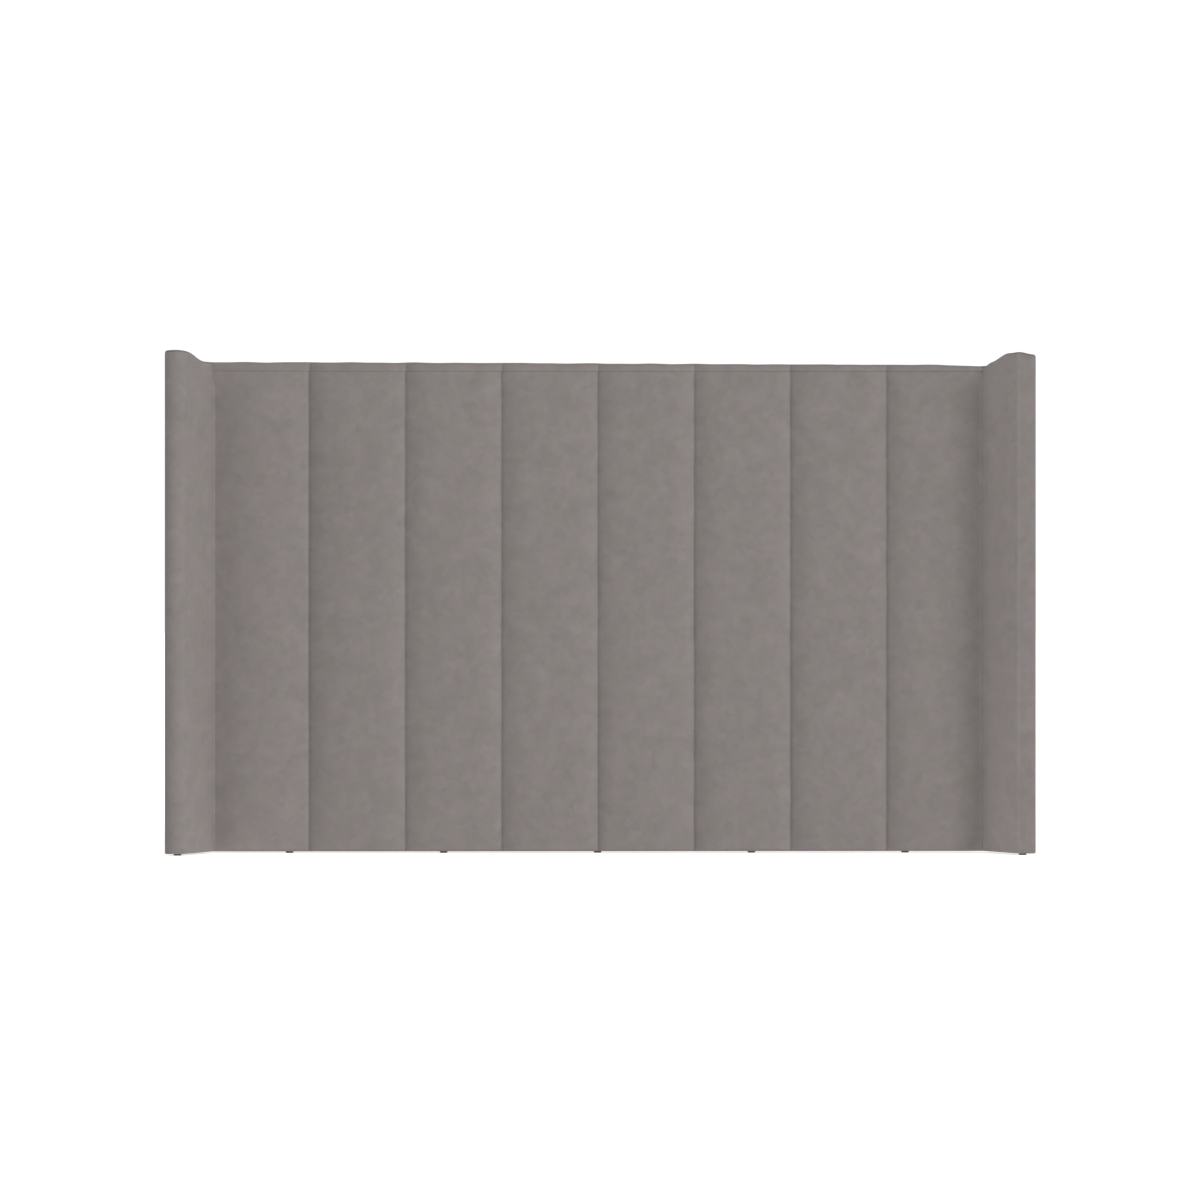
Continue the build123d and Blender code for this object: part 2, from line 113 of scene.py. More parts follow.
rails = ["bottom_rail", "middle_rail", "top_rail"]
uprights = [
    "left_stile", "right_stile", "left_lower_stud", "left_upper_stud", "centre_lower_stud",
    "centre_upper_stud", "right_lower_stud", "right_upper_stud",
]
battens = ["left_wing_batten", "right_wing_batten"]
spruce_light, spruce_dark = linear("#dcbf93"), linear("#bd935f")
wave_period = 0.314  # a wave texture's, at a scale of 1
ring_spacing = 0.004
heart_shift = (0.0, 0.11, 0.21)  # to the tree's heart, outside all the members
fibre_length, fibre_width = 0.09, 0.0012  # drawn coarser than the real fibres
for direction, members in (("lying", rails), ("standing", uprights + battens)):
    # Planed spruce: pale bands of early wood, darker lines of late wood, a dry satin surface.
    spruce = new_material(f"planed_spruce_{direction}")
    place = add_node(spruce, "TexCoord", {}).outputs["Object"]
    heart = add_node(spruce, "Mapping", {"Vector": place, "Location": heart_shift})
    along = "X" if direction == "lying" else "Z"
    rings = add_node(spruce, "TexWave", {
        "Vector": heart, "Scale": wave_period / ring_spacing, "Distortion": 5.0,
        "Detail": 3.0, "Detail Scale": 0.6,
    }, wave_type="RINGS", rings_direction=along)
    fibre_scale = [1 / fibre_width] * 3
    fibre_scale["XZ".index(along) * 2] = 1 / fibre_length
    stretched = add_node(spruce, "Mapping", {"Vector": place, "Scale": fibre_scale})
    fibres = add_node(spruce, "TexNoise", {"Vector": stretched, "Scale": 1.0, "Detail": 3.0})
    share = add_node(spruce, "Math", {0: rings.outputs["Fac"], 1: fibres}, operation="MULTIPLY")
    colour = add_node(spruce, "Mix", {0: share, 6: spruce_light, 7: spruce_dark}, data_type="RGBA")
    grain = add_node(spruce, "Bump", {"Height": fibres, "Strength": 0.25, "Distance": 0.0003})
    rough = add_node(spruce, "MapRange", {"Value": fibres, "To Min": 0.5, "To Max": 0.7})
    surface = add_node(spruce, "BsdfPrincipled", {
        "Base Color": colour.outputs[2], "Roughness": rough, "IOR": 1.5, "Normal": grain,
    })
    dress(members, spruce, surface)


# Corner blocks and wing cores: birch plywood, sawn to shape. Its thin veneers show at every
# sawn edge as light and dark lines, and its faces are plain and close-grained.
ply_face, ply_edge = linear("#d3b07f"), linear("#9a724a")
veneer = 0.0014
pores_across, pores_along = 600.0, 14.0  # to a metre of the veneers' faces
birch_ply = new_material("sawn_birch_plywood")
place = add_node(birch_ply, "TexCoord", {}).outputs["Object"]
veneers = add_node(birch_ply, "TexWave", {
    "Vector": place, "Scale": wave_period / (2 * veneer), "Distortion": 0.6, "Detail": 2.0,
}, wave_type="BANDS", bands_direction="Y")
figure_scale = add_node(birch_ply, "Mapping", {
    "Vector": place, "Scale": (pores_across, pores_across, pores_along),
})
figure = add_node(birch_ply, "TexNoise", {"Vector": figure_scale, "Scale": 1.0, "Detail": 4.0})
share = add_node(birch_ply, "Math", {0: veneers.outputs["Fac"], 1: figure}, operation="MULTIPLY")
colour = add_node(birch_ply, "Mix", {0: share, 6: ply_face, 7: ply_edge}, data_type="RGBA")
grain = add_node(birch_ply, "Bump", {"Height": figure, "Strength": 0.3, "Distance": 0.0002})
surface = add_node(birch_ply, "BsdfPrincipled", {
    "Base Color": colour.outputs[2], "Roughness": 0.6, "IOR": 1.5, "Normal": grain,
})
dress([
    "left_lower_corner_block", "left_upper_corner_block", "right_lower_corner_block",
    "right_upper_corner_block", "left_wing_core", "right_wing_core",
], birch_ply, surface)


# The face board that carries the foam: hot-pressed hardboard, stapled to the frame. Brown,
# flecked with darker fibre bundles, with a smooth slightly glossy face.
board_brown, board_fleck = linear("#8a6240"), linear("#5b3d26")
fleck = 0.003
hardboard = new_material("pressed_hardboard")
place = add_node(hardboard, "TexCoord", {}).outputs["Object"]
flecks = add_node(hardboard, "TexNoise", {
    "Vector": place, "Scale": 1 / fleck, "Detail": 4.0, "Roughness": 0.7,
})
colour = add_node(hardboard, "Mix", {0: flecks, 6: board_brown, 7: board_fleck}, data_type="RGBA")
press = add_node(hardboard, "Bump", {"Height": flecks, "Strength": 0.15, "Distance": 0.0002})
surface = add_node(hardboard, "BsdfPrincipled", {
    "Base Color": colour.outputs[2], "Roughness": 0.42, "IOR": 1.5, "Normal": press,
})
dress(["face_board"], hardboard, surface)


# Screws, wing bolts with their washers and tee nuts, and the threaded inserts for struts: steel,
# plated with bright zinc. A cool grey metal with cloudy patches from the plating bath.
def zinc_plated(names, material_name, light, dark, cloud, detail, smoothest, roughest):
    """Zinc on steel, its colour and roughness in clouds of a given size, for some CAD nodes."""
    steel = new_material(material_name)
    place = add_node(steel, "TexCoord", {}).outputs["Object"]
    clouds = add_node(steel, "TexNoise", {"Vector": place, "Scale": 1 / cloud, "Detail": detail})
    colour = add_node(steel, "Mix", {
        0: clouds, 6: linear(light), 7: linear(dark),
    }, data_type="RGBA")
    rough = add_node(steel, "MapRange", {"Value": clouds, "To Min": smoothest, "To Max": roughest})
    surface = add_node(steel, "BsdfPrincipled", {
        "Base Color": colour.outputs[2], "Roughness": rough, "Metallic": 1.0,
    })
    dress(names, steel, surface)


zinc_plated(
    ["frame_screws", "wing_bolts", "wing_washers", "wing_tee_nuts", "strut_inserts"],
    "bright_zinc_plated_steel", light="#c6c9cc", dark="#9da2a6", cloud=0.004, detail=3.0,
    smoothest=0.22, roughest=0.42,
)


# Glides: moulded polyethylene discs nailed under the bottom rail and the wings. Grey, waxy and
# scuffed in patches all over.
glide_grey, glide_scuff = linear("#4a4a4b"), linear("#6d6c6a")
scuff = 0.0015
polyethylene = new_material("moulded_polyethylene")
place = add_node(polyethylene, "TexCoord", {}).outputs["Object"]
scuffs = add_node(polyethylene, "TexNoise", {
    "Vector": place, "Scale": 1 / scuff, "Detail": 4.0, "Roughness": 0.7,
})
worn = add_node(polyethylene, "MapRange", {"Value": scuffs, "From Min": 0.5, "From Max": 0.75})
colour = add_node(polyethylene, "Mix", {0: worn, 6: glide_grey, 7: glide_scuff}, data_type="RGBA")
scratches = add_node(polyethylene, "Bump", {"Height": scuffs, "Strength": 0.2, "Distance": 0.0001})
surface = add_node(polyethylene, "BsdfPrincipled", {
    "Base Color": colour.outputs[2], "Roughness": 0.45, "IOR": 1.52, "Normal": scratches,
})
dress(["glides"], polyethylene, surface)


# The channels: eight upright foam strips glued to the board, each under its own panel of plush
# cloth. Neighbouring panels are sewn together and the seams are drawn down to the board; at the
# foot the cloth turns under the bottom rail and is stapled up its back.

# Polyester plush, brushed: a warm mid-grey pile, dull face on and paler at a glancing angle,
# with soft patches, as wide as a thumb or a hand, where the pile leans another way.
pile_dark, pile_light = linear("#6d6866"), linear("#7b7573")
tint_warm, tint_cool = (1.0, 1.01, 0.98, 1), (1.0, 0.99, 1.02, 1)  # the pile's two dyes
painted_shading_gain = 0.3  # lighter for painted light of 1, darker for painted shade of -1
patch, thumb_mark = 0.045, 0.017
mark_stray = 1.1 * thumb_mark  # how far the marks' edges wander
wing_stretch = 2.4  # the wings are brushed front to back, which draws the patches out
tuft = 0.0022  # the pile's tufts, drawn about three times as coarse as they are
mark_lean, tuft_lean = 0.4, 0.25  # how much marks and tufts add to the patches' lean
painted_shading_hue = 0.12  # how much more of the second, cooler dye shows where light or shade is painted
plush = new_material("brushed_polyester_plush")
place = add_node(plush, "TexCoord", {}).outputs["Object"]
along_wings = add_node(plush, "Mapping", {"Vector": place, "Scale": (1.0, 1 / wing_stretch, 1.0)})
patches = add_node(plush, "TexNoise", {
    "Vector": along_wings, "Scale": 1 / patch, "Detail": 3.0, "Roughness": 0.55, "Distortion": 0.5,
})
wander = add_node(plush, "TexNoise", {
    "Vector": along_wings, "Scale": 0.8 / thumb_mark, "Detail": 3.0,
})
wandering = add_node(plush, "VectorMath", {
    0: wander.outputs["Color"], 1: [mark_stray] * 3, 2: along_wings,
}, operation="MULTIPLY_ADD")
marks = add_node(plush, "TexVoronoi", {
    "Vector": wandering, "Scale": 1 / thumb_mark, "Smoothness": 0.15,
}, feature="SMOOTH_F1")
tufts = add_node(plush, "TexNoise", {
    "Vector": place, "Scale": 1 / tuft, "Detail": 3.0, "Roughness": 0.65,
})
lean = add_node(plush, "Math", {
    0: marks.outputs["Color"], 1: mark_lean, 2: patches,
}, operation="MULTIPLY_ADD")
nap = add_node(plush, "Math", {0: tufts, 1: tuft_lean, 2: lean}, operation="MULTIPLY_ADD")
nap_share = add_node(plush, "MapRange", {"Value": nap, "From Min": 0.32, "From Max": 1.33})
pile = add_node(plush, "Mix", {0: nap_share, 6: pile_dark, 7: pile_light}, data_type="RGBA")
# Light and shade painted into the pile's colour at each point, also cooling its hue.
painted_shading = add_node(plush, "Attribute", {}, attribute_name="painted_shading")
painted_shading_strength = add_node(plush, "Math", {0: painted_shading.outputs["Fac"]}, operation="ABSOLUTE")
dyes = add_node(plush, "Math", {
    0: painted_shading_strength, 1: painted_shading_hue, 2: wander,
}, operation="MULTIPLY_ADD")
hue_share = add_node(plush, "MapRange", {"Value": dyes, "From Min": 0.41, "From Max": 0.61})
hue = add_node(plush, "Mix", {0: hue_share, 6: tint_warm, 7: tint_cool}, data_type="RGBA")
tinted = add_node(plush, "VectorMath", {
    0: pile.outputs[2], 1: hue.outputs[2],
}, operation="MULTIPLY")
brightness = add_node(plush, "Math", {
    0: painted_shading.outputs["Fac"], 1: painted_shading_gain, 2: 1.0,
}, operation="MULTIPLY_ADD")
colour = add_node(plush, "VectorMath", {0: tinted, "Scale": brightness}, operation="SCALE")
facing = add_node(plush, "NewGeometry", {})
lie = add_node(plush, "Attribute", {}, attribute_name="pile_lie")
brushed = add_node(plush, "VectorMath", {
    0: facing.outputs["Normal"], 1: lie.outputs["Vector"],
}, operation="ADD")
leaning = add_node(plush, "VectorMath", {0: brushed}, operation="NORMALIZE")
lay = add_node(plush, "Bump", {
    "Height": lean, "Strength": 0.2, "Distance": 0.0008, "Normal": leaning,
})
fuzz = add_node(plush, "Bump", {
    "Height": tufts, "Strength": 0.4, "Distance": 0.0006, "Normal": lay,
})
rough = add_node(plush, "MapRange", {"Value": patches, "To Min": 0.8, "To Max": 0.95})
surface = add_node(plush, "BsdfPrincipled", {
    "Base Color": colour, "Roughness": rough, "IOR": 1.5, "Diffuse Roughness": 0.35,
    "Specular IOR Level": 0.1, "Sheen Weight": 0.15, "Sheen Roughness": 0.5,
    "Sheen Tint": linear("#e6dcd8"), "Normal": fuzz,
})
dress([], plush, surface)


def face_outward(mesh, merge=False):
    """Turn a mesh's faces outward, with points that coincide merged first if asked."""
    bm = bmesh.new()
    bm.from_mesh(mesh)
    if merge:
        bmesh.ops.remove_doubles(bm, verts=bm.verts, dist=1e-6)
    bmesh.ops.recalc_face_normals(bm, faces=bm.faces)
    bm.to_mesh(mesh)
    bm.free()


def plush_piece(name, points, faces, painted_shades, held_shares, pile_lie=(0, 0, 0)):
    """A padded piece of plush. The list after the faces paints light and shade into its colour,
    held_shares says how firmly it is held at each point, and pile_lie which way it is brushed."""
    mesh = bpy.data.meshes.new(name)
    mesh.from_pydata(points, [], faces)
    face_outward(mesh)
    mesh.polygons.foreach_set("use_smooth", [True] * len(mesh.polygons))
    # The light and shade painted into the pile's colour, point by point.
    attribute = mesh.attributes.new("painted_shading", "FLOAT", "POINT")
    attribute.data.foreach_set("value", painted_shades)
    attribute = mesh.attributes.new("pile_lie", "FLOAT_VECTOR", "POINT")
    attribute.data.foreach_set("vector", pile_lie * len(points))
    mesh.materials.append(plush)
    piece = put_in_scene(name, mesh)
    held = piece.vertex_groups.new(name="held")
    for index, share in enumerate(held_shares):
        held.add([index], share, "REPLACE")
    return piece


def keep_rims(piece, rows, columns):
    """Keep a double sheet's edges sharp when it is rounded off, so that neighbours meet."""
    half = rows * columns
    rim = set()
    for at in range(half):
        if at // columns in (0, rows - 1) or at % columns in (0, columns - 1):
            rim.update((at, half + at))
    crease = piece.data.attributes.new("crease_edge", "FLOAT", "EDGE")
    crease.data.foreach_set("value", [
        float(edge.vertices[0] in rim and edge.vertices[1] in rim) for edge in piece.data.edges
    ])


def grid_faces(rows, columns):
    """Quads of a grid of points, row by row."""
    starts = [at for at in range((rows - 1) * columns) if at % columns < columns - 1]
    return [(at, at + 1, at + columns + 1, at + columns) for at in starts]


def sheet_faces(rows, columns):
    """Quads of a double sheet: the outer grid, the inner grid behind it, and the rim between."""
    half = rows * columns
    faces = []
    for quad in grid_faces(rows, columns):
        faces += [quad, tuple(half + corner for corner in reversed(quad))]
    first = list(range(columns))
    last = [half - columns + column for column in range(columns)]
    left = [row * columns for row in range(rows)]
    right = [row * columns + columns - 1 for row in range(rows)]
    for edge in (first, last, left, right):
        for a, b in zip(edge, edge[1:]):
            faces.append((a, b, half + b, half + a))
    return faces


settle_frames = 20


def settle(pieces, pressure, most):
    """Let the covers swell over their foam under a light pressure, held where they are sewn or
    wrapped, with no point moved further than `most`."""
    for piece in pieces:
        cloth_cover = piece.modifiers.new("cover", "CLOTH")
        settings = cloth_cover.settings
        settings.quality = 6
        settings.mass = 0.4
        settings.tension_stiffness = 20
        settings.compression_stiffness = 10
        settings.shear_stiffness = 8
        settings.bending_stiffness = 2
        settings.air_damping = 2
        settings.vertex_group_mass = "held"
        settings.pin_stiffness = 1
        settings.shrink_min = -0.006
        settings.use_pressure = True
        settings.uniform_pressure_force = pressure
        settings.effector_weights.gravity = 0
        cloth_cover.collision_settings.use_collision = False
    for step in range(settle_frames):
        scene.frame_set(step + 1)
    graph = bpy.context.evaluated_depsgraph_get()
    for piece in pieces:
        swollen = [vertex.co.copy() for vertex in piece.evaluated_get(graph).data.vertices]
        piece.modifiers.clear()
        for vertex, place in zip(piece.data.vertices, swollen):
            shift = place - vertex.co
            if shift.length > most:
                shift.length = most
            vertex.co += shift
    scene.frame_set(1)


def eased(low, high, value):
    """From 0 at low to 1 at high, eased at both ends."""
    share = min(1, max(0, (value - low) / (high - low)))
    return share * share * (3 - 2 * share)


def quarter_turn(steps, first=1):
    """Sine and cosine at each step of a quarter turn."""
    turns = [math.pi / 2 * step / steps for step in range(first, steps + 1)]
    return [(math.sin(turn), math.cos(turn)) for turn in turns]


def uneven(*place):
    """A number from about -1 to 1 that wanders smoothly with the place."""
    return noise.noise(Vector(place))


channel_count = 8
channel_pitch = 0.225
half_pitch = channel_pitch / 2
half_face = channel_count * channel_pitch / 2
wing_splay = math.radians(15)
joint_gap = 0.0003
seam_gap = 0.00005
cloth = 0.0012
flap = 0.03
board_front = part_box("face_board")[0].y
frame_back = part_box("bottom_rail")[1].y
frame_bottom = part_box("bottom_rail")[0].z
frame_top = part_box("top_rail")[1].z
corner_y = board_front - 0.0155  # where a wing's splay is measured from
channel_top = 1.125
channel_foot = frame_bottom - cloth
crown_depth = 0.0265
side_drop = 0.0185  # from a channel's crown to its sides
wing_side_drop = 0.8 * side_drop  # the same beside a wing, where nothing draws the cloth in
arch_power = 2.8
valley_depth = 0.0063  # the seams, in front of the board
valley_width = 0.008  # from a seam to where the cloth is up on the foam
# Light and shade painted into the pile's colour, and over which share of a channel's width:
# painted shade at the seams and at the left side, painted light at the right side, in patches.
# The first channel gets painted light at the left, and a little everywhere.
seam_painted_shade, seam_shade_width = -0.35, 0.005
left_painted_shade, left_shade_share = -0.3, 0.24
right_painted_light, right_light_share = 0.15, 0.25
first_left_painted_light, first_left_share = 0.5, 0.2
first_painted_light, first_right_share = 0.3, 0.3
shading_patch, shading_patchiness = 0.07, 1.1
brushed_left = (-0.55, 0, 0)  # the pile of the channels and the border lies over to the left
pucker, pucker_length = 0.0012, 0.04  # the thread pulls unevenly along a seam
seam_wander, wander_length = 0.0009, 0.09
border_depth = 0.0185
border_arch_share, border_dip, dip_width = 0.45, 0.003, 0.011
top_blend = 0.045  # over this height the arch goes over into the border's flatter one
top_valley_width, top_valley = 0.006, 0.0009
foot_round = 0.0065
row_pitch = 0.008
free_from_seam, free_from_top, free_from_foot = 0.03, 0.04, 0.03  # where the cloth can swell
hidden_lip = 0.001  # the covers' upper edge, under the border


def side_x(edge, y):
    """X at depth y of the line that lies `edge` outward of the right wing's inner face."""
    return half_face + (edge - math.sin(wing_splay) * (y - corner_y)) / math.cos(wing_splay)


def channel_sides(index, y, z):
    """X of a channel's left and right sides at depth y and height z."""
    sides = []
    for number in (index, index + 1):
        astray = seam_wander * uneven(number * 5.7, 0, z / wander_length)
        sides.append(number * channel_pitch - half_face + astray)
    left, right = sides[0] + seam_gap, sides[1] - seam_gap
    if index == 0:
        left = -side_x(-joint_gap, y)
    if index == channel_count - 1:
        right = side_x(-joint_gap, y)
    return left, right


def arch_depth(across):
    """Depth of a channel's arch, across from 0 at its middle to 1 at its sides."""
    return crown_depth - side_drop * across ** arch_power


def border_front(index, share):
    """Depth of the top border in front of a channel, dipping where a seam ends under it."""
    across = abs(2 * share - 1)
    flatter = border_depth + (arch_depth(across) - border_depth) * border_arch_share
    dip = 0 if index + round(share) in (0, channel_count) else border_dip
    return flatter - dip * (1 - drawn_in((1 - across) * half_pitch, dip_width))


def channel_painted_shading(index, share, from_seam, z):
    """Light and shade painted into a channel's pile, patchy toward its sides."""
    patchy = 1 + shading_patchiness * uneven(share * 3, index * 2.3, z / shading_patch)
    left_side = (1 - eased(0, left_shade_share * (0.6 + 0.4 * patchy), share)) * left_painted_shade
    right_side = eased(1 - right_light_share, 1, share) * right_painted_light
    # Painted shade darkens the pile close to a seam.
    at_seam = eased(seam_shade_width, 0, from_seam)
    if index == 0:
        # The first channel gets painted light where the wing beside it shades it.
        left_side = first_left_painted_light * eased(first_left_share, 0, share)
        left_side += first_painted_light * eased(1, 1 - first_right_share, share)
    if index + round(share) in (0, channel_count):
        at_seam = 0
    return left_side + right_side * patchy + seam_painted_shade * at_seam


def valley(index, share, z):
    """Depth of the seam at a channel's nearer side: shallow beside a wing, puckered elsewhere."""
    number = index + round(share)
    if number in (0, channel_count):
        return crown_depth - wing_side_drop
    return valley_depth + pucker * uneven(number * 3.1, 40, z / pucker_length)


def drawn_in(distance, width):
    """How far the cloth has come up at a distance from a seam that draws it in, as a share."""
    return math.sin(math.pi / 2 * min(1, distance / width))


# Columns by their distance from the nearer seam, close together where the cloth turns in.
near_seam = [0, 0.0002, 0.001, 0.003, 0.0055, 0.008, 0.012, 0.022, 0.038, 0.058, 0.080, 0.098]
column_shares = [d / channel_pitch for d in near_seam] + [0.5]
column_shares += [1 - share for share in reversed(column_shares[:-1])]

# Rows down the front and round the foot: each one's height, and how far it stands out as a
# share of the foam's depth there.
front_rows = [(channel_top - drop, 1) for drop in (0, 0.0007, 0.0016, 0.0027, 0.0045, 0.008)]
front_top, front_foot = front_rows[-1][0], channel_foot + foot_round
steps = round((front_top - front_foot) / row_pitch)
for step in range(1, steps + 1):
    front_rows.append((front_top + (front_foot - front_top) * step / steps, 1))
for sine, cosine in reversed(quarter_turn(6, first=0)[:-1]):
    front_rows.append((channel_foot + foot_round * (1 - cosine), sine))

# Rows under the bottom rail and up its back: depth and height of the cloth's outer face, then of
# its inner one.
flap_back = frame_back + cloth
under_rows = [
    (board_front, channel_foot, board_front, frame_bottom),
    ((board_front + frame_back) / 2, channel_foot, (board_front + frame_back) / 2, frame_bottom),
    (frame_back - 0.002, channel_foot, frame_back - 0.002, frame_bottom),
    (flap_back - 0.0004, channel_foot + 0.0004, frame_back, frame_bottom),
    (flap_back, channel_foot + 0.003, frame_back, channel_foot + 0.003),
    (flap_back, channel_foot + flap / 2, frame_back, channel_foot + flap / 2),
    (flap_back, channel_foot + flap - 0.0008, frame_back, channel_foot + flap - 0.0008),
    (flap_back - 0.0003, channel_foot + flap, frame_back + 0.0003, channel_foot + flap),
]

turn_round = 0.0006  # of the end turns' edges
turn_ripple, turn_steps = 0.0004, 60


def loop_faces(loops, columns, first=0):
    """Quads between loops of points that follow each other, counted from `first`."""
    return [
        (start + at, start + (at + 1) % columns, start + columns + (at + 1) % columns,
         start + columns + at)
        for start in range(first, first + (loops - 1) * columns, columns)
        for at in range(columns)
    ]


def end_turn(side, first):
    """An end cover's turn round the stile and onto its back, as loops up the stile: points, and
    faces that count from `first`."""
    turn_in = side_x(-joint_gap, frame_back) - flap
    start_y, round_y = board_front + 0.001, flap_back - turn_round
    loop = [(side_x(-joint_gap, y), y) for y in (start_y, frame_back, round_y)]
    loop += [
        (side_x(-joint_gap, flap_back) - turn_round, flap_back), (turn_in + flap / 2, flap_back),
        (turn_in + turn_round, flap_back), (turn_in, round_y), (turn_in, frame_back),
    ]
    loop += [(side_x(-joint_gap - cloth, y), y) for y in (frame_back, start_y)]
    low, high = channel_foot + flap, frame_top - flap
    levels = [low, low + turn_round]
    levels += [low + (high - low) * step / turn_steps for step in range(1, turn_steps)]
    levels += [high - turn_round, high]
    points = []
    for z in levels:
        for x, y in loop:
            ripple = turn_ripple * uneven(x / 0.05, side * 9, z / 0.03)
            points.append((side * x, y + ripple * (y > frame_back), z))
    last = first + len(points) - len(loop)
    ends = [tuple(range(start, start + len(loop))) for start in (first, last)]
    return points, loop_faces(len(levels), len(loop), first) + ends


channels = []
for index in range(channel_count):
    outer, inner, painted_shades, held_shares = [], [], [], []
    left, right = channel_sides(index, board_front - hidden_lip, channel_top)
    for share in column_shares:
        outer.append((left + (right - left) * share, board_front - hidden_lip, channel_top))
        inner.append((left + (right - left) * share, board_front, channel_top - hidden_lip))
        painted_shades.append(seam_painted_shade)
        held_shares.append(1)
    for z, foam in front_rows:
        for share in column_shares:
            across = abs(2 * share - 1)
            from_seam = (1 - across) * half_pitch
            from_top = channel_top - z
            lowest = valley(index, share, z)
            out = drawn_in(from_seam, valley_width) * foam
            depth = lowest * foam + (arch_depth(across) - lowest) * out
            top_share = eased(top_blend, 0, from_top)
            depth += (border_front(index, share) - depth) * top_share
            depth -= top_valley * (1 - drawn_in(from_top, top_valley_width))
            y = board_front - depth
            left, right = channel_sides(index, y, z)
            outer.append((left + (right - left) * share, y, z))
            left, right = channel_sides(index, board_front, z)
            level = max(frame_bottom, min(z, channel_top - hidden_lip))
            inner.append((left + (right - left) * share, board_front, level))
            # The light and shade painted into the pile's colour here.
            painted_shades.append(channel_painted_shading(index, share, from_seam, z))
            held_shares.append(
                1 - eased(0, free_from_seam, from_seam)
                * eased(0, free_from_top, from_top)
                * eased(0, free_from_foot, z - channel_foot)
            )
    for y, z, inner_y, inner_z in under_rows:
        left, right = channel_sides(index, y, z)
        for share in column_shares:
            outer.append((left + (right - left) * share, y, z))
            inner.append((left + (right - left) * share, inner_y, inner_z))
    rows = len(outer) // len(column_shares)
    points, faces = outer + inner, sheet_faces(rows, len(column_shares))
    if index in (0, channel_count - 1):
        turn_points, turn_faces = end_turn(1 if index else -1, len(points))
        points += turn_points
        faces += turn_faces
    rest = len(points) - len(painted_shades)
    channels.append(plush_piece(
        f"channel_{index + 1}", points, faces, painted_shades + [0] * rest, held_shares + [1] * rest,
        brushed_left,
    ))
    keep_rims(channels[-1], rows, len(column_shares))

settle(channels, pressure=4, most=0.004)


hollow_squash = 1.4  # the foam's hollows are this much wider than high


def soften(piece, height, size, seed):
    """Small hollows and rises of the foam under its cover."""
    mesh = piece.data
    normals = [vertex.normal.copy() for vertex in mesh.vertices]
    held = piece.vertex_groups["held"]
    for vertex, normal in zip(mesh.vertices, normals):
        loose = 1 - held.weight(vertex.index)
        if loose > 0:
            x, y, z = vertex.co / size
            vertex.co += normal * height * loose * uneven(x + seed, y, hollow_squash * z)


def round_off(piece):
    """One level of subdivision, so that the cloth turns smoothly."""
    rounding_off = piece.modifiers.new("rounding", "SUBSURF")
    rounding_off.levels = 1
    rounding_off.render_levels = 1


for index, piece in enumerate(channels):
    soften(piece, height=0.0007, size=0.045, seed=index * 7.3)
    round_off(piece)
    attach(piece, "root")
    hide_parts(f"channel_cover_{index + 1}", f"channel_pad_{index + 1}")


# The top border: one strip of the same plush over a foam strip on the top rail, sewn to the tops
# of all the channels, rolled over the top edge and stapled to the back of the frame.
border_slack, end_slack, slack_start = 0.005, 0.003, 0.81  # it sinks toward the right end
end_held = 0.02  # of each end, beside the wings
border_hem_width, border_top_round = 0.006, 0.0125
panel_top = 1.146
foam_row, back_rows = 6, (18, 23)  # rows of the profile where the foam starts and runs out
dips_from = -0.02  # how far back over the top the front's dips reach
border_profile = []  # depth in front of the board, and height
for rise in (0, 0.0002, 0.001, 0.002, 0.0035):
    drawn = top_valley * (1 - drawn_in(rise, border_hem_width))
    border_profile.append((border_depth - drawn, channel_top + rise))
front_start = channel_top + border_hem_width
front_end = panel_top - border_top_round
for step in range(2):
    border_profile.append((border_depth, front_start + (front_end - front_start) * step))
for sine, cosine in quarter_turn(6):
    border_profile.append((
        border_depth - border_top_round * (1 - cosine), front_end + border_top_round * sine,
    ))
top_front = border_depth - border_top_round
top_back = board_front - flap_back + border_top_round
for step in range(1, 6):
    border_profile.append((top_front + (top_back - top_front) * step / 5, panel_top))
for sine, cosine in quarter_turn(6):
    border_profile.append((
        top_back - border_top_round * sine, front_end + border_top_round * cosine,
    ))
for height in (channel_top, channel_top - 0.01, frame_top - flap + 0.0008, frame_top - flap):
    border_profile.append((board_front - flap_back, height))

border_columns = [(0, 0.0)]  # channel, and share of its width
for index in range(channel_count):
    border_columns += [(index, share) for share in column_shares[1:]]
outer, inner, painted_shades, held_shares = [], [], [], []
for number, (depth, z) in enumerate(border_profile):
    front_share = eased(dips_from, border_depth, depth)
    for index, share in border_columns:
        y = board_front - depth - (border_front(index, share) - border_depth) * front_share
        inner_y = min(max(y, board_front), frame_back)
        inner_z = min(z, frame_top) if number else z + 0.0005
        straight = ((index + share) / channel_count * 2 - 1) * half_face
        slack = border_slack * eased(-half_face, half_face, straight)
        slack += end_slack * eased(slack_start, half_face - end_held, straight)
        sunk = z - slack * eased(frame_top, panel_top, z)
        outer.append((straight / half_face * side_x(-joint_gap, y), y, sunk))
        inner.append((straight / half_face * side_x(-joint_gap, inner_y), inner_y, inner_z))
        # The channels' painted light and shade, carried onto the border's front.
        in_front = eased(0, border_depth, depth)
        painted_shades.append(channel_painted_shading(index, share, half_pitch, z) * in_front)
        on_foam = eased(0.2, 1, number / foam_row) * (1 - eased(*back_rows, number))
        end = eased(0, end_held, half_face - abs(straight))
        held_shares.append(1 - on_foam * end)
top_border = plush_piece(
    "top_border_strip", outer + inner, sheet_faces(len(border_profile), len(border_columns)),
    painted_shades * 2, held_shares + [1] * len(inner), brushed_left,
)
keep_rims(top_border, len(border_profile), len(border_columns))
settle([top_border], pressure=4, most=0.002)
soften(top_border, height=0.0016, size=0.05, seed=71.0)
round_off(top_border)
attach(top_border, "root")
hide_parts("top_border", "top_pad")


# The back cloth: black non-woven polypropylene, hemmed and stapled over the frame and the
# covers' turned edges, with a window at each threaded insert.

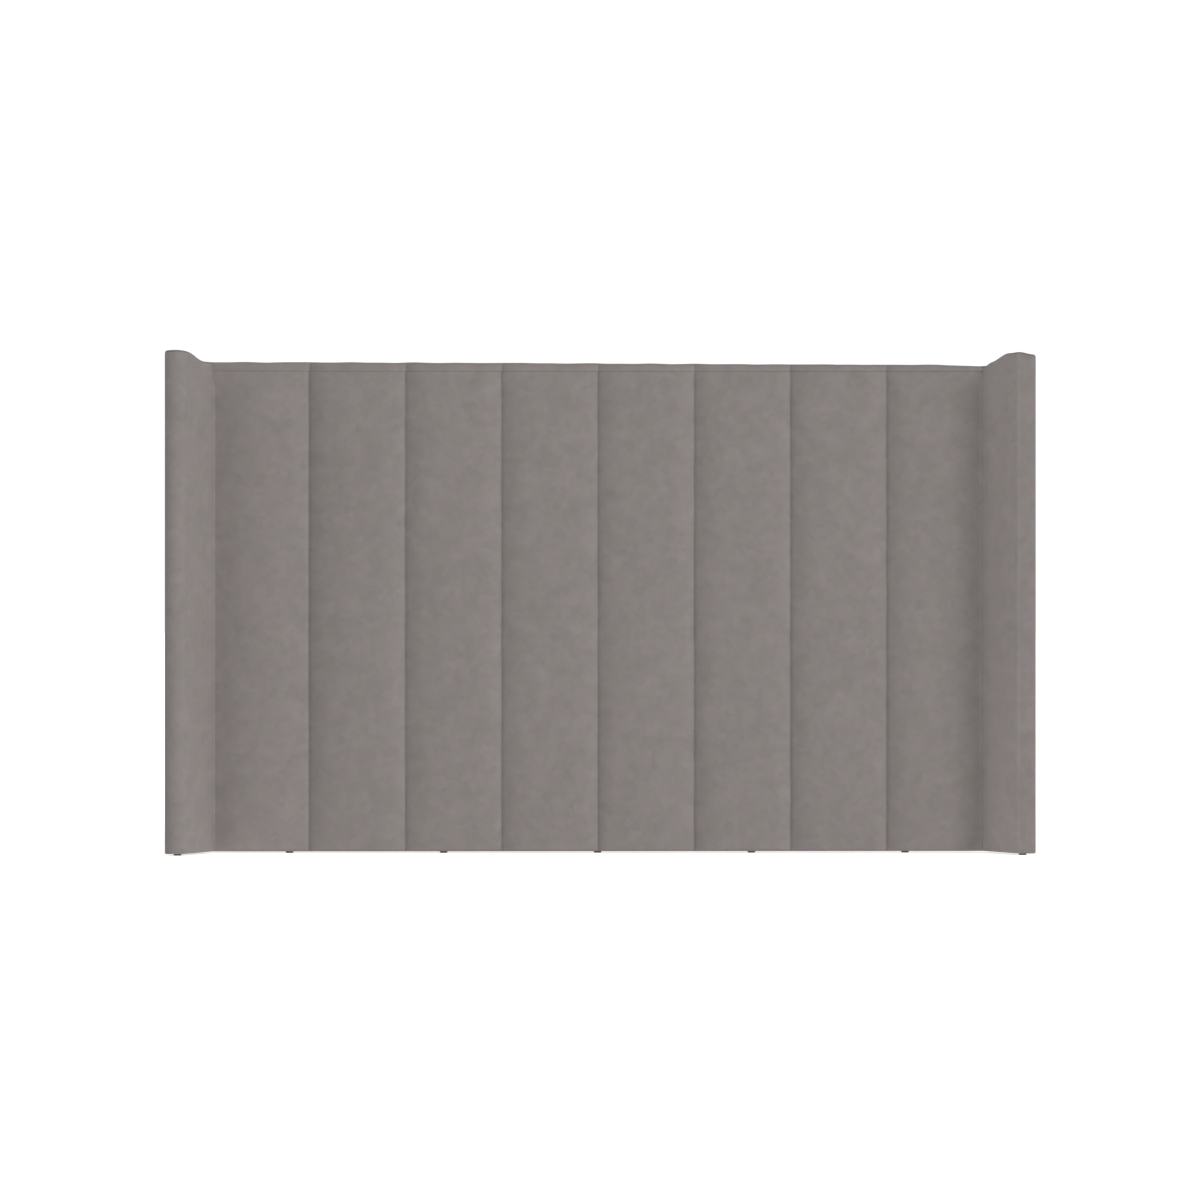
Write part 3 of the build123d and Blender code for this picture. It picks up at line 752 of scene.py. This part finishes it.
# Spunbond polypropylene: matt black felted fibres, flattened in rows of small bonded points.
fibre_black, bond_black = linear("#1e1e20"), linear("#2c2c2f")
bond_pitch, fibre = 0.003, 0.0011  # both drawn about twice as coarse as they are
nonwoven = new_material("black_spunbond_polypropylene")
place = add_node(nonwoven, "TexCoord", {}).outputs["Object"]
bonds = add_node(nonwoven, "TexVoronoi", {
    "Vector": place, "Scale": 1 / bond_pitch, "Randomness": 0.0,
})
bond = add_node(nonwoven, "MapRange", {
    "Value": bonds.outputs["Distance"], "From Min": 0.2, "From Max": 0.35,
})
fibres = add_node(nonwoven, "TexNoise", {
    "Vector": place, "Scale": 1 / fibre, "Detail": 4.0, "Distortion": 1.5,
})
colour = add_node(nonwoven, "Mix", {0: fibres, 6: fibre_black, 7: bond_black}, data_type="RGBA")
felt = add_node(nonwoven, "Math", {0: fibres, 1: 0.5, 2: bond}, operation="MULTIPLY_ADD")
pressed = add_node(nonwoven, "Bump", {"Height": felt, "Strength": 0.5, "Distance": 0.0003})
rough = add_node(nonwoven, "MapRange", {"Value": bond, "To Min": 0.45, "To Max": 0.75})
surface = add_node(nonwoven, "BsdfPrincipled", {
    "Base Color": colour.outputs[2], "Roughness": rough, "IOR": 1.49,
    "Sheen Weight": 0.1, "Normal": pressed,
})
dress([], nonwoven, surface)

back_low, back_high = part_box("back_cloth")
staple_low, staple_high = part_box("back_staples")
insert_low, insert_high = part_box("strut_inserts")
insert_radius, window_radius = 0.0065, 0.010
staples_across, staples_up = 21, 13
hem_width, hem_lift = 0.018, 0.0002
staple_pull, pull_reach = 0.00048, 0.006
sag_depth, sag_reach = 0.0016, 0.16
sag_patchiness, ripple, edge_calm = 0.8, 0.0002, 0.1  # the cloth lies flatter near its edge
line_pitch, edge_line, staple_lines = 0.02, 0.002, (-0.009, -0.004, 0, 0.004, 0.009)

# Where the staples are: a row along each rail and a column up each stile.
half_wire = 0.00045
half_row, column_x = 0.8248, staple_high.x - half_wire
row_heights = (staple_low.z + half_wire, staple_high.z - half_wire)
column_low, column_high = 0.061, 1.0745
row_spots = [half_row * (2 * n / (staples_across - 1) - 1) for n in range(staples_across)]
column_spots = [
    column_low + (column_high - column_low) * n / (staples_up - 1) for n in range(staples_up)
]
staple_spots = [(x, z) for z in row_heights for x in row_spots]
staple_spots += [(side * column_x, z) for side in (-1, 1) for z in column_spots]


def cloth_lines(low, high, spots):
    """Places of the mesh's lines from low to high, close together round each staple."""
    lines = {low, high, low + edge_line, high - edge_line, low + hem_width, high - hem_width}
    lines.update(spot + away for spot in spots for away in staple_lines)
    for before, after in zip(sorted(lines), sorted(lines)[1:]):
        steps = math.ceil((after - before) / line_pitch)
        lines.update(before + (after - before) * step / steps for step in range(1, steps))
    return sorted(lines)


cloth_columns = cloth_lines(back_low.x, back_high.x, row_spots + [-column_x, column_x])
cloth_rows = cloth_lines(back_low.z, back_high.z, column_spots + list(row_heights))
frame_members = [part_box(name) for name in rails + uprights]


def back_depth(x, z):
    """Depth of the back cloth's outer face: pulled in at the staples, slack between the wood."""
    off_frame = min(
        max(low.x - x, x - high.x, low.z - z, z - high.z, 0) for low, high in frame_members
    )
    slack = 1 + sag_patchiness * uneven(x / 0.3, 5, z / 0.22)
    depth = back_high.y - sag_depth * slack * eased(0, sag_reach, off_frame)
    from_edge = min(x - back_low.x, back_high.x - x, z - back_low.z, back_high.z - z)
    depth += hem_lift * eased(hem_width + 0.003, hem_width, from_edge)
    depth += ripple * uneven(x / 0.05, 8, z / 0.04) * eased(0, edge_calm, from_edge)
    pull = 0
    for spot_x, spot_z in staple_spots:
        if max(abs(spot_x - x), abs(spot_z - z)) < 5 * pull_reach:
            away = math.hypot(spot_x - x, spot_z - z) / pull_reach
            pull = max(pull, math.exp(-away * away))
    return depth - (staple_pull + hem_lift) * pull


cloth_mesh = bpy.data.meshes.new("back_cloth_sheet")
cloth_mesh.from_pydata(
    [(x, back_depth(x, z), z) for z in cloth_rows for x in cloth_columns], [],
    grid_faces(len(cloth_rows), len(cloth_columns)),
)
bm = bmesh.new()
bm.from_mesh(cloth_mesh)
for centre_x in (insert_low.x + insert_radius, insert_high.x - insert_radius):
    for centre_z in (insert_low.z + insert_radius, insert_high.z - insert_radius):
        centre = Vector((centre_x, back_high.y, centre_z))
        inside = [v for v in bm.verts if (v.co - centre).length < 1.4 * window_radius]
        cut = {face for v in inside for face in v.link_faces} or {
            min(bm.faces, key=lambda face: (face.calc_center_median() - centre).length)
        }
        corners = {v for face in cut for v in face.verts}
        bmesh.ops.delete(bm, geom=list(cut), context="FACES")
        rim = sorted(
            (v for v in corners if v.is_valid and v.link_faces),
            key=lambda v: math.atan2(v.co.z - centre.z, v.co.x - centre.x),
        )
        ring = []
        for v in rim:
            way = Vector((v.co.x - centre.x, 0, v.co.z - centre.z)).normalized()
            ring.append(bm.verts.new(centre + way * window_radius))
        for at in range(len(rim)):
            onward = (at + 1) % len(rim)
            bm.faces.new((rim[at], rim[onward], ring[onward], ring[at]))
bmesh.ops.recalc_face_normals(bm, faces=bm.faces)
bm.to_mesh(cloth_mesh)
bm.free()
cloth_mesh.polygons.foreach_set("use_smooth", [True] * len(cloth_mesh.polygons))
cloth_mesh.materials.append(nonwoven)
back_sheet = put_in_scene("back_cloth_sheet", cloth_mesh)
thickness = back_sheet.modifiers.new("thickness", "SOLIDIFY")
thickness.thickness = 0.0004
thickness.offset = -1
round_off(back_sheet)
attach(back_sheet, "root")
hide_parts("back_cloth")


# The back cloth's staples: galvanised steel wire, driven flush. Dull pale zinc, a little lighter
# or darker in small cloudy patches.
zinc_plated(
    ["back_staples"], "galvanised_staple_wire", light="#c2c3c2", dark="#9b9c9b", cloud=0.0025,
    detail=2.0, smoothest=0.28, roughest=0.5,
)


# The wings: a plywood core in foam on both sides and in front, in one wrapped panel of plush,
# with a narrow strip of it sewn over a foam strip along the top edge, which climbs in a shallow
# S from the panel's height to the wing's front.
wing_forward = 0.258
wing_thickness = 0.047
wing_rise = 0.022
rise_start_share, rise_end_share = 0.12, 0.95
front_round, back_round, hem_round = 0.019, 0.003, 0.003
top_edge_round = 0.003
strip_inset, strip_drop, strip_round, strip_crown = 0.0012, 0.003, 0.006, 0.0015
# Light and shade painted into the pile on the inner side, in front and outward, and from which
# share of the wing's thickness the last begins. It fades out toward the panel and round onto the
# outer side.
wing_painted_shading = {"left": (0.0, -0.33, -1.1, 0.18), "right": (0.42, -0.45, -1.2, 0.8)}
front_reach, outer_reach = (0.014, 0), (0.09, 0.012)  # behind the wing's front
corner_shade_share, corner_span = 0.3, (-0.01, -0.06)
# The right wing's top has sunk: with the border at the panel, a little in front, and most outside
# in front. Between, its inner edge is held up. A span gives places along the wing.
panel_span, front_span, outer_span = (-0.055, -0.005), (-0.16, -0.21), (-0.07, -0.22)
off_panel_span, off_front_span = (-0.05, -0.12), (-0.21, -0.13)
front_sink, outer_sink, held_up = 0.002, 0.006, 0.004
outer_sink_width = 0.035
sink_heights = (0.9, 1.14)  # over which it fades in
# Where the wrap can swell: away from its foot and top, the panel, its back end and its front.
free_upright, free_off_panel = (0.02, 0.07), (0.02, 0.08)
free_off_back, free_off_front = 0.04, 0.08
wrap_lip, strip_hem, strip_seam = 0.0005, 0.003, 0.0003  # hidden between wrap and top strip
wing_row_pitch = side_pitch = 0.011
panel_back = flap_back + 0.0006
splay_sin, splay_cos = math.sin(wing_splay), math.cos(wing_splay)


def wing_back(edge):
    """How far back along the wing its back end lies, on the line `edge` outward."""
    return (panel_back - corner_y - edge * splay_sin) / splay_cos


def climb(back):
    """Height of the wing's top edge at a place along it."""
    start, end = -wing_forward * rise_start_share, -wing_forward * rise_end_share
    middle = (start + end) / 2
    low, high = 0.0, 1.0
    for _ in range(30):
        share = (low + high) / 2
        rest = 1 - share
        reach = end * rest ** 3 + 3 * middle * rest * share + start * share ** 3
        if reach < back:
            low = share
        else:
            high = share
    share = 0 if back < end else 1 if back > start else (low + high) / 2
    return panel_top + wing_rise * (1 - share) ** 2 * (1 + 2 * share)


def corner_points(centre, radius, from_turn, steps):
    """Points round a quarter turn of the wing's outline, as seen from above."""
    turns = [from_turn + math.pi / 2 * step / steps for step in range(steps + 1)]
    ways = [(math.cos(turn), math.sin(turn)) for turn in turns]
    return [(centre[0] + radius * x, centre[1] + radius * y, x, y) for x, y in ways]


# The outline seen from above, in the wing's own frame: outward across it and backward along it,
# each point with the direction that it faces.
inner_end, outer_end = wing_back(0) - back_round, wing_back(wing_thickness) - back_round
sides_start = front_round - wing_forward
outline = corner_points((front_round, sides_start), front_round, math.pi, 7)
outline += corner_points((wing_thickness - front_round, sides_start), front_round, 1.5 * math.pi, 7)
steps = round((outer_end - sides_start) / side_pitch)
outline += [
    (wing_thickness, sides_start + (outer_end - sides_start) * step / steps, 1, 0)
    for step in range(1, steps)
]
outline += corner_points((wing_thickness - back_round, outer_end), back_round, 0, 3)
outline += corner_points((back_round, inner_end), back_round, math.pi / 2, 3)
steps = round((inner_end - sides_start) / side_pitch)
outline += [
    (0, inner_end + (sides_start - inner_end) * step / steps, -1, 0)
    for step in range(1, steps)
]


def outline_loop(inset, level):
    """The outline at an inset; level gives a point's height from its place along the wing."""
    return [
        (edge - inset * edge_way, back - inset * back_way, level(back))
        for edge, back, edge_way, back_way in outline
    ]


def cap_loops(inset, shares, level):
    """Loops that close from the outline at an inset onto the wing's middle line."""
    loops = []
    half = wing_thickness / 2
    for share in shares:
        loop = []
        for edge, back, edge_way, back_way in outline:
            rim = Vector((edge - inset * edge_way, back - inset * back_way))
            spine = Vector((half, min(max(back, half - wing_forward), inner_end - half)))
            at = rim.lerp(spine, share)
            loop.append((at.x, at.y, level(at.y, share)))
        loops.append(loop)
    return loops


def slack_top(side_name, edge, back):
    """How far the top of the right wing has sunk: at the panel and, most, outside in front."""
    if side_name == "left":
        return 0
    outward = eased(0, outer_sink_width, edge)
    sunk = (border_slack + end_slack) * eased(*panel_span, back)
    sunk += front_sink * eased(*front_span, back)
    sunk += outer_sink * outward * eased(*outer_span, back)
    between = eased(*off_panel_span, back) * eased(*off_front_span, back)
    return sunk - held_up * between * (1 - outward)


def wing_piece(side_name, name, loops, shading_by_loop, held):
    """A wing's closed piece on one side of the headboard, from loops in the wing's own frame."""
    side = -1 if side_name == "left" else 1
    inside, in_front, outward, outward_from = wing_painted_shading[side_name]
    points, painted_shades = [], []
    for loop, loop_shading in zip(loops, shading_by_loop):
        for edge, back, z in loop:
            x = half_face + edge * splay_cos - back * splay_sin
            z -= slack_top(side_name, edge, back) * eased(*sink_heights, z)
            points.append((side * x, corner_y + edge * splay_sin + back * splay_cos, z))
        # Light and shade painted into the pile's colour: on the inner side, in front and outward.
        for edge, back, edge_way, _ in outline:
            front_share = eased(*front_reach, back + wing_forward)
            inner_share = eased(-0.3, 0.3, -edge_way)
            off_corner = eased(*corner_span, back)
            inner_share *= corner_shade_share + (1 - corner_shade_share) * off_corner
            outer_share = eased(outward_from, 1, edge / wing_thickness)
            outer_share *= eased(*outer_reach, back + wing_forward)
            painted_shades.append(loop_shading + inside * inner_share * (1 - front_share)
                         + in_front * front_share + (outward - in_front) * outer_share)
    piece = plush_piece(
        f"{side_name}_wing_{name}", points, loop_faces(len(loops), len(outline)), painted_shades, held
    )
    face_outward(piece.data, merge=True)
    return piece


body_loops = cap_loops(hem_round, [1, 0.5, 0], lambda back, share: channel_foot)
body_painted_shades = [0, 0, 0]
for sine, cosine in quarter_turn(4):
    height = channel_foot + hem_round * (1 - cosine)
    body_loops.append(outline_loop(hem_round * (1 - sine), lambda back: height))
    body_painted_shades.append(0)
low = channel_foot + hem_round
steps = round((panel_top - low) / wing_row_pitch)
for step in range(1, steps + 1):
    share = step / steps
    body_loops.append(outline_loop(
        0, lambda back: low + (climb(back) - strip_drop - top_edge_round - low) * share
    ))
    body_painted_shades.append(0)
# Painted shade darkens the wrap as it turns in to its seam with the top strip.
for step, (sine, cosine) in enumerate(quarter_turn(4)):
    lift = top_edge_round * (1 - sine)
    body_loops.append(outline_loop(
        top_edge_round * (1 - cosine), lambda back: climb(back) - strip_drop - lift
    ))
    body_painted_shades.append(seam_painted_shade * (step + 1) / 4)
body_loops += cap_loops(
    top_edge_round, [0.3, 1], lambda back, share: climb(back) - strip_drop - wrap_lip
)
body_painted_shades += [0, 0]

strip_loops = cap_loops(
    strip_hem, [1, 0], lambda back, share: climb(back) - strip_drop - strip_seam
)
# Painted shade darkens the strip beside its seam with the wrap.
strip_painted_shades = [0, seam_painted_shade]
for step, (sine, cosine) in enumerate(quarter_turn(5, first=0)):
    lift = strip_drop * (1 - sine)
    strip_loops.append(outline_loop(
        strip_inset + strip_round * (1 - cosine), lambda back: climb(back) - lift
    ))
    strip_painted_shades.append(seam_painted_shade * max(0, 1 - step / 2))
strip_loops += cap_loops(
    strip_inset + strip_round, [0.3, 0.6, 1],
    lambda back, share: climb(back) + strip_crown * (1 - (1 - share) ** 2),
)
strip_painted_shades += [0, 0, 0]

wing_pieces = []
for side_name in ("left", "right"):
    held = []
    for loop in body_loops:
        for edge, back, z in loop:
            free = eased(*free_upright, z) * eased(*free_upright, climb(back) - z)
            if edge < wing_thickness / 2:
                free *= eased(*free_off_panel, -back)
            free *= eased(0, free_off_back, wing_back(edge) - back)
            free *= eased(0, free_off_front, back + wing_forward)
            held.append(1 - free)
    body = wing_piece(side_name, "wrap", body_loops, body_painted_shades, held)
    strip = wing_piece(
        side_name, "top_strip", strip_loops, strip_painted_shades, [1] * len(strip_loops) * len(outline),
    )
    wing_pieces.append((side_name, body, strip))

settle([body for _, body, _ in wing_pieces], pressure=4, most=0.002)

for number, (side_name, body, strip) in enumerate(wing_pieces):
    soften(body, height=0.0009, size=0.06, seed=120.0 + 11 * number)
    for piece in (body, strip):
        round_off(piece)
        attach(piece, "root")
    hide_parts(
        f"{side_name}_wing_cover", f"{side_name}_wing_inner_pad",
        f"{side_name}_wing_outer_pad", f"{side_name}_wing_front_pad",
    )
    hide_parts(f"{side_name}_wing_top_border", f"{side_name}_wing_top_pad")


# The floor and the light: a white floor without an edge, an even white room, and two far soft
# lights a little above the camera: a wide one beside it and a smaller one from its right.
floor_size = 160
floor_white = linear("#f4f4f4")
floor_mesh = bpy.data.meshes.new("floor")
floor_corners = [
    (x * floor_size, y * floor_size, 0) for x, y in ((-1, -1), (1, -1), (1, 1), (-1, 1))
]
floor_mesh.from_pydata(floor_corners, [], [(0, 1, 2, 3)])
painted = new_material("white_painted_floor")
surface = add_node(painted, "BsdfPrincipled", {
    "Base Color": floor_white, "Roughness": 0.9, "Specular IOR Level": 0.1,
    "Emission Color": floor_white, "Emission Strength": 0.66,
})
dress([], painted, surface)
floor_mesh.materials.append(painted)
floor = put_in_scene("floor", floor_mesh)

room_light = 0.5  # the walls are white to look at, and light the object half as strongly
room = bpy.data.worlds.new("white_room")
room.use_nodes = True
seen = add_node(room, "LightPath", {})
strength = add_node(room, "MapRange", {
    "Value": seen.outputs["Is Camera Ray"], "To Min": room_light, "To Max": 1.05,
})
walls = room.node_tree.nodes["Background"]
room.node_tree.links.new(strength.outputs[0], walls.inputs["Strength"])
walls.inputs["Color"].default_value = (1, 1, 1, 1)
scene.world = room

for name, turn, rise, width, strength in (
    ("softbox_right", 27, 22, 14, 1.35), ("softbox_front", -3, 20, 30, 1.42),
):
    light = bpy.data.lights.new(name, "SUN")
    light.angle = math.radians(width)
    light.energy = strength
    softbox = put_in_scene(name, light)
    turn, rise = math.radians(turn), math.radians(rise)
    way = Vector((
        math.sin(turn) * math.cos(rise), -math.cos(turn) * math.cos(rise), math.sin(rise),
    ))
    softbox.rotation_euler = way.to_track_quat("Z", "Y").to_euler()
